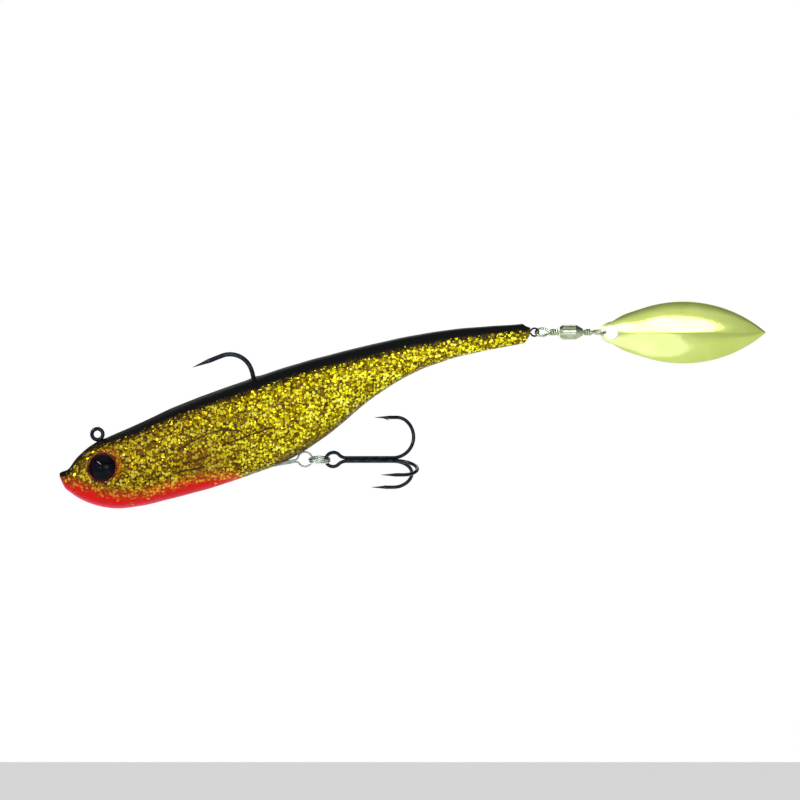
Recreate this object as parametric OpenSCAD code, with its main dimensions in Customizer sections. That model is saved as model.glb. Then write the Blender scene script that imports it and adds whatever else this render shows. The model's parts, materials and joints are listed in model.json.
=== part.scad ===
// Soft fish lure on a jig hook, with a treble hook below and a swivel and willow blade behind.
// Millimetres. Origin at the centre of the line eye, +X to the tail, +Z up, left flank towards -Y.

/* [Soft body] */
// Place along the body where the tail bends
tail_hinge_x = 92; // [90:1:95]
// Slit between the front body and the tail, which bend as one piece
tail_gap = 0.45; // [0.3:0.05:0.6]
// Room left in the soft body around each piece moulded into it
mould_gap = 0.06; // [0.04:0.01:0.1]

/* [Eyes] */
// Eye centre along the body
eye_x = 2; // [0:0.1:3]
// Eye centre height
eye_z = -10.5; // [-11:0.1:-10]
// Diameter of the domed lens
eye_lens_d = 8.2; // [7.6:0.1:8.4]
// Diameter of the foil behind the lens
eye_foil_d = 8.9; // [8.7:0.1:9.2]
// Height of the dome
eye_dome = 1.6; // [1.2:0.1:2]

/* [Jig hook] */
// Wire diameter of the hook
hook_wire = 1.43; // [1.3:0.01:1.5]
// Upward slope of the shank, in degrees
hook_slope = 21.5; // [21:0.5:22]
// Distance from the line eye down to the shank
hook_leg = 11; // [10.8:0.1:11.2]
// Distance along the shank to the start of the bend
hook_reach = 41.4; // [41:0.1:42]
// Outer diameter of the line eye
line_eye_od = 4.6; // [4.4:0.1:4.8]
// Wire diameter of the line eye
line_eye_wire = 1.2; // [1.1:0.05:1.25]
// Width of the straight wall inside the line eye
line_eye_land = 0.6; // [0.4:0.1:0.8]

/* [Head weight] */
// Diameter of the lead body
weight_d = 11; // [10:0.5:11.5]
// Length of its straight part
weight_l = 16.5; // [15:0.5:17]

/* [Belly loop and split ring] */
// Wire diameter of the belly loop
belly_wire_d = 0.56; // [0.5:0.02:0.6]
// Radius of the loop, to the middle of its wire
belly_loop_r = 2.25; // [2.2:0.01:2.3]
// Wire diameter of the split ring
ring_wire = 0.72; // [0.66:0.02:0.74]
// Radius of the split ring, to the middle of its wire
ring_r = 3.15; // [3.1:0.01:3.2]
// Tilt of the split ring about the lure's length, in degrees
ring_tilt = 12; // [8:1:16]

/* [Treble hook] */
// Wire diameter of the treble
treble_wire = 1.1; // [1:0.05:1.1]
// Length of the straight shank
treble_shank = 14.7; // [14:0.1:15]
// Turn of the treble about its own shank, in degrees
treble_roll = 10; // [5:1:15]
// Turn of the treble about the split ring, in degrees
treble_yaw = 7.5; // [0:0.5:10]

/* [Swivel] */
// Wire diameter of the swivel eyes
swivel_wire = 0.8; // [0.7:0.05:0.8]
// Outer diameter of the swivel eyes
swivel_eye_od = 4.6; // [4.4:0.1:4.6]
// Outer diameter of the barrel
barrel_d = 4.6; // [4.4:0.1:4.8]
// Length of the barrel
barrel_l = 7.2; // [7:0.1:7.4]
// Tilt of the front eye away from upright, in degrees
front_eye_tilt = 52; // [50:1:60]
// Tilt of the rear eye away from level, in degrees
rear_eye_tilt = 14.5; // [10:0.5:18]

/* [Willow blade] */
// Length of the blade
blade_l = 51.6; // [50:0.2:52]
// Width of the blade
blade_w = 19.3; // [18:0.1:20]
// Sheet thickness
blade_t = 0.65; // [0.5:0.05:0.7]
// Radius that the sheet is dished to
blade_dish_r = 42; // [36:1:60]
// Diameter of the hole
blade_hole_d = 4.66; // [4.6:0.02:4.7]

/* [Hidden] */
$fn = 48;
tip_r = 0.06;
slip = 0.015;
ball_extra = 0.015;
seam = 0.01;
channel_sides = 16;
chord_gap = 0.01;
tail_end_r = 6;

// Soft body stations: [x, height of the back, height of the belly, half width]
stations = [
    [-11.7, -12.0, -13.4, 0.9], [-10.2, -10.9, -16.6, 3.0], [-8.5, -9.3, -18.1, 4.6],
    [-2.3, -3.7, -21.5, 7.6], [4, -0.6, -23.0, 9.2], [13.3, 3.5, -22.4, 10.4],
    [22.6, 7.9, -20.2, 10.6], [35, 12.8, -16.9, 10.0], [47.6, 17.2, -12.7, 9.1],
    [60, 21.3, -7.8, 8.0], [72.5, 24.8, 0.3, 6.9], [85, 27.9, 10.7, 5.8],
    [97.4, 30.6, 18.5, 4.7], [110, 32.6, 23.4, 3.8], [122.3, 33.7, 26.3, 3.0],
    [134, 34.4, 28.4, 2.4]
];
sides = 32;
steps = 4;

hook_r = hook_wire / 2;
hook_corner = 2.2;
hook_point_l = 5.6;
line_eye_r = (line_eye_od - line_eye_wire) / 2;
leg_moves = [
    ["go", hook_leg - hook_corner - line_eye_r], ["turn", hook_corner, 90],
    ["go", hook_reach - hook_corner]
];
hook_bend = [["turn", 9.5, 50], ["turn", 14.2, 40], ["turn", 7, 90], ["go", 4.2], ["point", hook_point_l]];

weight_nose = 4;
weight_tail_l = 7;
weight_tail_r = 2.2;

eye_seat = 7;
eye_toe = 14;
eye_lift = 8;
eye_foil_t = 0.35;
eye_rim_t = 0.5;

belly_loop_at = [64.7, -7.8];
belly_exit_a = 10;
belly_inner_a = -12;
belly_leg_gap = 0.32;
belly_neck_r = 1.2;
belly_outer_run = 8.1;
belly_bend_r = 12;
belly_inner_run = 25.5;
belly_bend = belly_exit_a - belly_inner_a;
belly_leg_moves = [["go", belly_inner_run], ["turn", belly_bend_r, belly_bend], ["go", belly_outer_run]];

ring_at = [69.15, 0, -8];
ring_turn_gap = 0.3;

treble_eye_r = 2.35;
treble_eye_neck_r = 3;
treble_eye_at = 4.43;
treble_wire_r = treble_wire / 2;
braze_gap = 0.04;
treble_half_gap = (treble_wire + braze_gap) / 2;
treble_packing = (treble_wire + braze_gap) / sqrt(3);
treble_point_l = 4.6;

tail_line_z = 31.8;
tail_eye_at = [136.2, tail_line_z];
tail_eye_wire = 0.56;
tail_eye_r = 1.22;
tail_eye_leg_gap = 0.32;
tail_eye_neck_r = 0.5;
tail_eye_leg_l = 8.6;
tail_channel_r = tail_eye_leg_gap + tail_eye_wire / 2 + mould_gap;

cable_r = 0.35;
cable_drop = 1.15;
cable_bend_r = 62;
cable_start = 34.2;
front_sleeve_l = 6;
rear_sleeve_x = 124.3;
rear_sleeve_l = 5;
rear_sleeve_r = 1.25;
rear_sleeve_z = 31.4;
cable_end_z = 30.8;
// The cable starts beside the shank, runs on at its slope and levels out into the rear sleeve
cable_from = [
    cable_start * cos(hook_slope) + (hook_leg + cable_drop) * sin(hook_slope),
    cable_start * sin(hook_slope) - (hook_leg + cable_drop) * cos(hook_slope)
];
cable_rise_l = (cable_end_z - cable_from[1] - cable_bend_r * (1 - cos(hook_slope))) / sin(hook_slope);
cable_bend_end = cable_from[0] + cable_rise_l * cos(hook_slope) + cable_bend_r * sin(hook_slope);
cable_moves = [
    ["go", cable_rise_l], ["turn", cable_bend_r, -hook_slope],
    ["go", rear_sleeve_x + rear_sleeve_l - cable_bend_end]
];

swivel_r = swivel_wire / 2;
swivel_eye_r = (swivel_eye_od - swivel_wire) / 2;
front_eye_x = tail_eye_at[0] + 0.4 + swivel_eye_r;
barrel_x = 144.1;
barrel_chamber_r = 1.6;
barrel_wall = 1;
neck_gap = 0.05;
head_r = 1.3;
head_l = 1.4;
head_gap = 0.1;
wrap_r = 0.34;
wrap_pitch = 0.7;
rear_eye_x = 156.3;

blade_x = 156.75;
blade_z = 31.7;
blade_web = 0.92;
blade_hole_x = blade_x + blade_web + blade_hole_d / 2;

// ---- Helpers ----

function polar(length, angle) = length * [cos(angle), sin(angle)];

// Turns a drawing in the XY plane into the lure's middle plane, its Y becoming Z
module upright() rotate([90, 0, 0]) children();

module along_x(length, r1, r2) rotate([0, 90, 0]) cylinder(h = length, r1 = r1, r2 = r2);

module torus(ring_radius, wire_radius) rotate_extrude() translate([ring_radius, 0]) circle(wire_radius);

// Joins two stretches of wire, its poles along them
module joint_ball(r) rotate([0, 90, 0]) sphere(r + ball_extra);

// A round wire that starts at the origin along +X and follows a list of moves:
// ["go", length], ["turn", radius, angle] with left positive, and ["point", length].
// The stretches stop just short of each other, inside a ball a hair wider than the wire.
module wire(r, moves, i = 0) {
    if (i < len(moves)) {
        move = moves[i];
        if (i > 0) joint_ball(r);
        if (move[0] == "go") {
            translate([seam, 0, 0]) along_x(move[1] - 2 * seam, r, r);
            translate([move[1], 0, 0]) wire(r, moves, i + 1);
        } else if (move[0] == "turn") {
            bend_r = move[1];
            bend = abs(move[2]);
            side = sign(move[2]);
            short = seam / bend_r * 180 / PI;
            rotate([side < 0 ? 180 : 0, 0, 0]) translate([0, bend_r, 0]) rotate([0, 0, short - 90])
                rotate_extrude(angle = bend - 2 * short) translate([bend_r, 0]) circle(r);
            translate([bend_r * sin(bend), side * bend_r * (1 - cos(bend)), 0])
                rotate([0, 0, move[2]]) wire(r, moves, i + 1);
        } else {
            translate([seam, 0, 0]) along_x(move[1] - seam, r, tip_r);
        }
    }
}

// The [x, y, heading] states along a list of moves, for a channel cut round a wire,
// close enough together that its flats stay within chord_gap of each turn
function turned(at, move, t) =
    let (r = sign(move[2]) * move[1], a = at[2] + t * move[2])
    [at[0] + r * (sin(a) - sin(at[2])), at[1] - r * (cos(a) - cos(at[2])), a];
function moved(at, move) =
    move[0] == "turn" ? turned(at, move, 1) :
    [at[0] + move[1] * cos(at[2]), at[1] + move[1] * sin(at[2]), at[2]];
function states(moves, i = 0, at = [0, 0, 0]) =
    i == len(moves) ? [at] :
    let (n = moves[i][0] == "turn" ? ceil(abs(moves[i][2]) / (2 * acos(1 - chord_gap / moves[i][1]))) : 1)
    concat(
        [for (k = [0:n - 1]) k == 0 ? at : turned(at, moves[i], k / n)],
        states(moves, i + 1, moved(at, moves[i]))
    );

module channel(r, moves) loft([
    for (s = states(moves))
        [for (k = [0:channel_sides - 1])
            let (a = 360 * k / channel_sides, wide = r / cos(180 / channel_sides))
            [s[0] - sin(s[2]) * wide * cos(a), s[1] + cos(s[2]) * wide * cos(a), wide * sin(a)]]
]);

// The moves of a loop at the end of two parallel legs, and how far its centre is past them
function neck_angle(loop_r, neck_r, leg_gap) = acos((leg_gap + neck_r) / (loop_r + neck_r));
function loop_moves(loop_r, neck_r, leg_gap) =
    let (a = neck_angle(loop_r, neck_r, leg_gap))
    [["turn", neck_r, a], ["turn", loop_r, -180 - 2 * a], ["turn", neck_r, a]];
function loop_run(loop_r, neck_r, leg_gap) =
    (loop_r + neck_r) * sin(neck_angle(loop_r, neck_r, leg_gap));

// ---- Soft body ----

function secant(i, c) = (stations[i + 1][c] - stations[i][c]) / (stations[i + 1][0] - stations[i][0]);
function span_l(i) = stations[i + 1][0] - stations[i][0];
function slope(i, c) =
    i == 0 ? secant(0, c) :
    i == len(stations) - 1 ? secant(i - 1, c) :
    (span_l(i) * secant(i - 1, c) + span_l(i - 1) * secant(i, c)) / (span_l(i) + span_l(i - 1));

// Column c of the stations at fraction t of span i, on a smooth curve through them
function smooth(i, t, c) =
    (2 * t^3 - 3 * t^2 + 1) * stations[i][c] + (t^3 - 2 * t^2 + t) * span_l(i) * slope(i, c)
    + (3 * t^2 - 2 * t^3) * stations[i + 1][c] + (t^3 - t^2) * span_l(i) * slope(i + 1, c);

function oval(x, back, belly, half_w) = [
    for (k = [0:sides - 1])
        let (a = 360 * k / sides)
        [x, half_w * cos(a), (back + belly) / 2 + (back - belly) / 2 * sin(a)]
];

function body_rings() = [
    for (i = [0:len(stations) - 2], s = [0:steps - (i == len(stations) - 2 ? 0 : 1)])
        let (t = s / steps)
        oval(stations[i][0] + t * span_l(i), smooth(i, t, 1), smooth(i, t, 2), smooth(i, t, 3))
];

module loft(rings) {
    n = len(rings[0]);
    last = len(rings) - 1;
    polyhedron(
        points = [for (ring = rings, p = ring) p],
        faces = [
            [for (k = [0:n - 1]) k],
            for (j = [0:last - 1], k = [0:n - 1])
                let (a = j * n + k, b = j * n + (k + 1) % n)
                each [[b, a, a + n], [b, a + n, b + n]],
            [for (k = [n - 1:-1:0]) last * n + k]
        ]
    );
}

// Everything behind the bending line, with a front end rounded about it
module tail_zone(r) {
    translate([tail_hinge_x, 0, -40]) cylinder(h = 100, r = r);
    translate([tail_hinge_x, -r, -40]) cube([60, 2 * r, 100]);
}

// The pieces cast into the body, grown by the moulding gap, with the eye pockets
module moulded_in() {
    g = mould_gap;
    on_leg() channel(hook_r + g, concat(leg_moves, [hook_bend[0], hook_bend[1], hook_bend[2]]));
    upright() cylinder(h = line_eye_wire + 4 * g, d = line_eye_od + 4 * g, center = true);
    weight_shape(weight_d / 2 + 2 * g, 2 * g);
    on_belly_legs() channel(belly_leg_gap + belly_wire_d / 2 + g, belly_leg_moves);
    translate([belly_loop_at[0], 0, belly_loop_at[1]]) upright()
        cylinder(h = belly_wire_d + 6 * g, r = belly_loop_r + belly_wire_d / 2 + 6 * g, center = true);
    on_cable() channel(cable_r + g, cable_moves);
    front_sleeve_shape(2 * g, $fn = 24);
    rear_sleeve_shape(2 * g, $fn = 24);
    on_tail_legs() along_x(2 * tail_eye_leg_l, tail_channel_r, tail_channel_r, $fn = 24);
    for (side = [-1, 1]) at_eye(side) cylinder(h = 5, d = eye_foil_d + 2 * g);
}

// resize() with zeros keeps every size: it makes the cut body one closed mesh
module soft_body_front() color("goldenrod") resize([0, 0, 0]) difference() {
    loft(body_rings());
    tail_zone(tail_end_r + tail_gap);
    moulded_in();
}

module soft_body_tail() color("goldenrod") resize([0, 0, 0]) difference() {
    intersection() {
        loft(body_rings());
        tail_zone(tail_end_r);
    }
    moulded_in();
}

// ---- Eyes ----

module at_eye(side) {
    if (side < 0)
        translate([eye_x, -eye_seat, eye_z]) rotate([90 - eye_lift, 0, -eye_toe]) children();
    else
        mirror([0, 1, 0]) at_eye(-1) children();
}

module eye_foil(side) color("maroon") at_eye(side) cylinder(h = eye_foil_t, d = eye_foil_d);

module eye_lens(side) {
    rim_r = eye_lens_d / 2;
    dome_r = (rim_r^2 + eye_dome^2) / (2 * eye_dome);
    color("black") at_eye(side) translate([0, 0, eye_foil_t]) {
        cylinder(h = eye_rim_t, r = rim_r);
        intersection() {
            translate([0, 0, eye_rim_t + eye_dome - dome_r]) sphere(dome_r);
            translate([0, 0, eye_rim_t]) cylinder(h = 2 * eye_dome, r = rim_r);
        }
    }
}

// ---- Jig hook and head weight ----

// Places a drawing on the shank, its X along the shank from the foot of the leg
module on_shank(x) upright() rotate(hook_slope) translate([x, -hook_leg, 0]) children();

// Places a drawing at the top of the leg, its X down the leg
module on_leg() upright() rotate(hook_slope - 90) translate([line_eye_r, 0, 0]) children();

module jig_hook() color("#1c1d20") {
    on_leg() wire(hook_r, concat(leg_moves, hook_bend));
    upright() rotate_extrude() {
        translate([line_eye_r, 0]) circle(line_eye_wire / 2);
        translate([line_eye_r - line_eye_wire / 2, -line_eye_land / 2]) square([line_eye_wire / 2, line_eye_land]);
    }
}

module weight_shape(r, g = 0) on_shank(weight_nose) {
    translate([r, 0, 0]) sphere(r);
    translate([r, 0, 0]) along_x(weight_l, r, r);
    translate([r + weight_l, 0, 0]) along_x(weight_tail_l + g, r, weight_tail_r + g);
}

module head_weight() color("slategray") difference() {
    weight_shape(weight_d / 2);
    on_shank(0) along_x(hook_reach, hook_r + slip, hook_r + slip);
    for (side = [-1, 1]) on_belly_legs() translate([0, side * belly_leg_gap, 0])
        along_x(belly_inner_run, belly_wire_d / 2 + slip, belly_wire_d / 2 + slip);
}

// ---- Belly loop, split ring and treble ----

// The start of the belly wire inside the lead, worked back from its loop
function belly_start() =
    let (
        legs_end = belly_loop_at - polar(loop_run(belly_loop_r, belly_neck_r, belly_leg_gap), belly_exit_a),
        bend_end = legs_end - polar(belly_outer_run, belly_exit_a),
        bend_start = bend_end - belly_bend_r * [
            sin(belly_exit_a) - sin(belly_inner_a), cos(belly_inner_a) - cos(belly_exit_a)
        ]
    )
    bend_start - polar(belly_inner_run, belly_inner_a);

// Places a drawing midway between the two legs of the belly wire, at their start in the lead
module on_belly_legs() {
    start = belly_start();
    upright() translate([start[0], start[1], 0]) rotate(belly_inner_a) children();
}

module belly_wire() color("silver") on_belly_legs() translate([0, belly_leg_gap, 0])
    wire(belly_wire_d / 2, concat(
        [["go", belly_inner_run], ["turn", belly_bend_r - belly_leg_gap, belly_bend], ["go", belly_outer_run]],
        loop_moves(belly_loop_r, belly_neck_r, belly_leg_gap),
        [["go", belly_outer_run], ["turn", belly_bend_r + belly_leg_gap, -belly_bend], ["go", belly_inner_run]]
    ));

module at_ring() translate(ring_at) rotate([ring_tilt, 0, 0]) children();

module split_ring() color("silver") at_ring() rotate_extrude() for (side = [-1, 1])
    translate([ring_r, side * ring_turn_gap]) circle(d = ring_wire);

// Places a drawing at the split ring's centre, its X along the treble
module on_treble() translate(ring_at) rotate([0, 0, treble_yaw]) children();

treble_shank_x = treble_eye_at + loop_run(treble_eye_r, treble_eye_neck_r, treble_half_gap);

// One hook of the treble, which bends away from the shank at this angle from upright
module treble_hook(angle) {
    bend_r = 6.7;
    corner_r = 4.6;
    straight = 2.2;
    rotate([90 - angle, 0, 0]) translate([treble_shank_x, treble_packing, 0]) {
        joint_ball(treble_wire_r);
        wire(treble_wire_r, [
            ["go", treble_shank], ["turn", bend_r, 135], ["turn", corner_r, 45],
            ["go", straight], ["point", treble_point_l]
        ]);
        // Barb, on the inside of the point
        back = (bend_r - corner_r) * sin(45);
        rise = bend_r * (1 + sin(45)) + corner_r * (1 - sin(45));
        translate([treble_shank + back - straight - 1.9, rise - 0.1, 0])
            rotate([0, 0, -25]) along_x(1.9, 0.24, tip_r);
    }
}

module treble_double_hook() color("#1c1d20") on_treble() {
    for (angle = [0, 120]) treble_hook(treble_roll + angle);
    rotate([120 - treble_roll, 0, 0]) translate([treble_shank_x, -treble_half_gap, -treble_packing / 2])
        rotate(180) wire(treble_wire_r, loop_moves(treble_eye_r, treble_eye_neck_r, treble_half_gap));
}

module treble_single_hook() color("#1c1d20") on_treble() treble_hook(treble_roll + 240);

// ---- Tail cable and its ends ----

// Places a drawing at the front end of the cable, its X along it
module on_cable() upright() translate([cable_from[0], cable_from[1], 0]) rotate(hook_slope) children();

module tail_cable() color("#202020") on_cable() wire(cable_r, cable_moves);

module front_sleeve_shape(g = 0) on_shank(cable_start + 0.3 - g) {
    along_x(front_sleeve_l + 2 * g, hook_r + 0.45 + g, hook_r + 0.45 + g);
    translate([0, -cable_drop, 0]) along_x(front_sleeve_l + 2 * g, cable_r + 0.45 + g, cable_r + 0.45 + g);
}

module front_crimp_sleeve() color("silver") difference() {
    front_sleeve_shape();
    on_shank(0) along_x(hook_reach, hook_r + slip, hook_r + slip);
    on_shank(cable_start) translate([0, -cable_drop, 0]) along_x(2 * front_sleeve_l, cable_r + slip, cable_r + slip);
}

module rear_sleeve_shape(g = 0) translate([rear_sleeve_x - g, 0, rear_sleeve_z])
    along_x(rear_sleeve_l + 2 * g, rear_sleeve_r + g, rear_sleeve_r + g);

module rear_crimp_sleeve() color("silver") difference() {
    rear_sleeve_shape();
    for (side = [-1, 1]) on_tail_legs() translate([0, side * tail_eye_leg_gap, 0])
        along_x(tail_eye_leg_l, tail_eye_wire / 2 + slip, tail_eye_wire / 2 + slip);
    translate([rear_sleeve_x - 1, 0, cable_end_z]) along_x(rear_sleeve_l + 2, cable_r + slip, cable_r + slip);
}

// Places a drawing midway between the two legs of the tail eye, at their start
module on_tail_legs() {
    run = loop_run(tail_eye_r, tail_eye_neck_r, tail_eye_leg_gap);
    upright() translate([tail_eye_at[0] - run - tail_eye_leg_l, tail_eye_at[1], 0]) children();
}

module tail_eye() color("#1c1d20") on_tail_legs() translate([0, tail_eye_leg_gap, 0])
    wire(tail_eye_wire / 2, concat(
        [["go", tail_eye_leg_l]], loop_moves(tail_eye_r, tail_eye_neck_r, tail_eye_leg_gap),
        [["go", tail_eye_leg_l]]
    ));

// ---- Swivel and blade ----

module at_tail_line(x) translate([x, 0, tail_line_z]) children();

// Wire wrapped round the neck, from x onwards
module wraps(x) for (k = [0:2]) at_tail_line(x + k * wrap_pitch)
    rotate([0, 90, 0]) torus(swivel_r + wrap_r - 0.02, wrap_r);

module swivel_front_eye() color("silver") {
    head_x = barrel_x + barrel_wall + head_gap;
    neck_x = front_eye_x + swivel_eye_r;
    at_tail_line(front_eye_x) rotate([90 - front_eye_tilt, 0, 0]) torus(swivel_eye_r, swivel_r);
    at_tail_line(neck_x) along_x(head_x + 0.1 - neck_x, swivel_r, swivel_r);
    at_tail_line(head_x) along_x(head_l, head_r, head_r);
    wraps(neck_x + 0.9);
}

module swivel_barrel() {
    r = barrel_d / 2;
    front_l = 1;
    rear_l = 2.2;
    straight_l = barrel_l - front_l - rear_l;
    chamber_l = barrel_l - barrel_wall - 1.8;
    color("silver") at_tail_line(barrel_x) difference() {
        union() {
            along_x(front_l, r - 0.7, r);
            translate([front_l, 0, 0]) along_x(straight_l, r, r);
            translate([front_l + straight_l, 0, 0]) along_x(rear_l, r, 1.05);
        }
        translate([-1, 0, 0]) along_x(barrel_l + 2, swivel_r + neck_gap, swivel_r + neck_gap);
        translate([barrel_wall, 0, 0]) along_x(chamber_l, barrel_chamber_r, barrel_chamber_r);
    }
}

module swivel_rear_eye() color("silver") {
    chamber_end = barrel_x + barrel_l - 1.8;
    head_x = chamber_end - head_gap - head_l;
    ring_x = rear_eye_x - swivel_eye_r;
    at_tail_line(rear_eye_x) rotate([rear_eye_tilt, 0, 0]) torus(swivel_eye_r, swivel_r);
    at_tail_line(head_x) along_x(head_l, head_r, head_r);
    at_tail_line(head_x + head_l - 0.1) along_x(ring_x - head_x - head_l + 0.1, swivel_r, swivel_r);
    at_tail_line(barrel_x + barrel_l + 0.15) along_x(0.5, 0.75, 0.75);
    wraps(barrel_x + barrel_l + 1.1);
}

// Outline of the blade: two arcs that meet at the tip, and a round end about the hole
module blade_outline() {
    half_l = blade_l / 2;
    half_w = blade_w / 2;
    arc_r = (half_l^2 + half_w^2) / (2 * half_w);
    intersection() {
        translate([half_l, arc_r - half_w]) circle(arc_r, $fn = 200);
        translate([half_l, half_w - arc_r]) circle(arc_r, $fn = 200);
    }
    translate([blade_hole_x - blade_x, 0]) circle(blade_hole_d / 2 + blade_web);
}

module willow_blade() color("#d9e36a") translate([blade_x, 0, blade_z]) difference() {
    intersection() {
        translate([-5, blade_dish_r - blade_t / 2, 0]) difference() {
            along_x(blade_l + 10, blade_dish_r, blade_dish_r, $fn = 200);
            translate([-1, 0, 0])
                along_x(blade_l + 12, blade_dish_r - blade_t, blade_dish_r - blade_t, $fn = 200);
        }
        upright() linear_extrude(height = 8, center = true) blade_outline();
    }
    translate([blade_hole_x - blade_x, 0, 0]) upright() cylinder(h = 10, d = blade_hole_d, center = true);
}

// ---- Nodes ----

soft_body_front();
soft_body_tail();
jig_hook();
head_weight();
eye_foil(-1);  // eye_foil_left
eye_foil(1);  // eye_foil_right
eye_lens(-1);  // eye_lens_left
eye_lens(1);  // eye_lens_right
belly_wire();
split_ring();
treble_double_hook();
treble_single_hook();
tail_cable();
front_crimp_sleeve();
rear_crimp_sleeve();
tail_eye();
swivel_front_eye();
swivel_barrel();
swivel_rear_eye();
willow_blade();
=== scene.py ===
"""Soft fish lure with a jig hook, treble hook, barrel swivel and willow blade, built round the CAD frame."""

import json
import math

import bpy
import numpy as np
from mathutils import Matrix, Vector

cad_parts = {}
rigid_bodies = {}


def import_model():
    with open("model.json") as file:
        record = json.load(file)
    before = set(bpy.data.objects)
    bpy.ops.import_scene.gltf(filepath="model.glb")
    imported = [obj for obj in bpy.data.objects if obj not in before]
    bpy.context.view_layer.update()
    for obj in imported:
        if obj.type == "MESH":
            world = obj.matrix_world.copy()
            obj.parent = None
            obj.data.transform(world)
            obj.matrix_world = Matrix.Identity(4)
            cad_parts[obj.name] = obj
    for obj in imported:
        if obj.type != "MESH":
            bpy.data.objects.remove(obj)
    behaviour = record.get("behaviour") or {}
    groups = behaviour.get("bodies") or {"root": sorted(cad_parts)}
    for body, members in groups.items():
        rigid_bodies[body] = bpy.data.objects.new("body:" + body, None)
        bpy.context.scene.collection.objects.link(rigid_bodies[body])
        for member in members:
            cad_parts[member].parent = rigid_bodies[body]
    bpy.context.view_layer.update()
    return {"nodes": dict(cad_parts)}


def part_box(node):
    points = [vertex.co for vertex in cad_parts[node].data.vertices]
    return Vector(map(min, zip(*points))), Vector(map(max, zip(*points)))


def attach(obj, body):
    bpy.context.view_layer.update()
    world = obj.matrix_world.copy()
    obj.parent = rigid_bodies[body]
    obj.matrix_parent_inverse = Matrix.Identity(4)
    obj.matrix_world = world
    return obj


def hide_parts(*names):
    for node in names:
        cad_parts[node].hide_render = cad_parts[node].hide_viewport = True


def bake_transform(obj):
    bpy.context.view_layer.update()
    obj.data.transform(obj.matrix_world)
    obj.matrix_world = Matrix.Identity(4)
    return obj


MM = 0.001

# ---- Frame and camera ----

for leftover in list(bpy.data.objects):
    bpy.data.objects.remove(leftover)
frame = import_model()
nodes = frame["nodes"]

# Metres: how far off the camera stands, and the width and the middle, (x, z), of what it sees
CAMERA_DISTANCE, VIEW_WIDTH, VIEW_CENTRE = 3.0, 0.2493, (0.0943, 0.01066)
SENSOR_WIDTH = 36
camera = bpy.data.objects.new("camera", bpy.data.cameras.new("camera"))
bpy.context.scene.collection.objects.link(camera)
camera.data.sensor_width = SENSOR_WIDTH
camera.data.lens = SENSOR_WIDTH * CAMERA_DISTANCE / VIEW_WIDTH
camera.location = (VIEW_CENTRE[0], -CAMERA_DISTANCE, VIEW_CENTRE[1])
camera.rotation_euler = (math.radians(90), 0, 0)
camera.data.clip_start, camera.data.clip_end = 0.1, 20
bpy.context.scene.camera = camera
bpy.context.scene.view_settings.view_transform = "Standard"


# ---- Mesh helpers. Lengths are in millimetres from here to the studio ----

# (how wide, how far out), in radii, for each ring of a wire's rounded end
ROUND_END = ((0.95, 0.3), (0.75, 0.65), (0.4, 0.9), (0.05, 1.0))


def add_mesh(name, points, faces, material, smooth=True):
    mesh = bpy.data.meshes.new(name)
    mesh.from_pydata([tuple(p) for p in np.asarray(points, float) * MM], [], faces)
    mesh.validate()
    if smooth:
        mesh.polygons.foreach_set("use_smooth", [True] * len(mesh.polygons))
    mesh.update()
    mesh.materials.append(material)
    piece = bpy.data.objects.new(name, mesh)
    bpy.context.scene.collection.objects.link(piece)
    return piece


def store(piece, name, values):
    """Keeps a vector for every vertex, for the piece's material to read."""
    attribute = piece.data.attributes.new(name, "FLOAT_VECTOR", "POINT")
    attribute.data.foreach_set("vector", np.asarray(values, np.float32).ravel())


def grid_faces(rows, columns):
    """Quads of a tube of rows rings, with columns points in each."""
    faces = []
    for j in range(rows - 1):
        near, far = j * columns, (j + 1) * columns
        for k in range(columns):
            after = (k + 1) % columns
            faces.append((near + k, near + after, far + after, far + k))
    return faces


def unit(v):
    return v / np.linalg.norm(v)


def unit_rows(v):
    return v / np.linalg.norm(v, axis=1)[:, None]


def tube(name, path, radius, material, sides=20, up=(0, 1, 0), round_ends=True):
    """A wire along a path. The radius is one number or one for each point.

    up is any direction that the path doesn't start along.
    """
    path = np.asarray(path, float)
    radius = np.broadcast_to(np.asarray(radius, float), len(path)).copy()
    if round_ends:
        first, last = unit(path[0] - path[1]), unit(path[-1] - path[-2])
        head = [path[0] + first * radius[0] * out for _, out in reversed(ROUND_END)]
        tail = [path[-1] + last * radius[-1] * out for _, out in ROUND_END]
        path = np.vstack([head, path, tail])
        narrowed = np.array([wide for wide, _ in ROUND_END])
        radius = np.concatenate([radius[0] * narrowed[::-1], radius, radius[-1] * narrowed])
    along = unit_rows(np.gradient(path, axis=0))
    side = unit(np.cross(along[0], up))
    points = []
    for p, t, r in zip(path, along, radius):
        side = unit(side - t * (side @ t))
        other = np.cross(t, side)
        for k in range(sides):
            a = 2 * math.pi * k / sides
            points.append(p + r * (math.cos(a) * side + math.sin(a) * other))
    faces = grid_faces(len(path), sides)
    faces.append(tuple(range(sides - 1, -1, -1)))
    faces.append(tuple((len(path) - 1) * sides + k for k in range(sides)))
    return add_mesh(name, points, faces, material)


# ---- Material helpers ----


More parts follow.
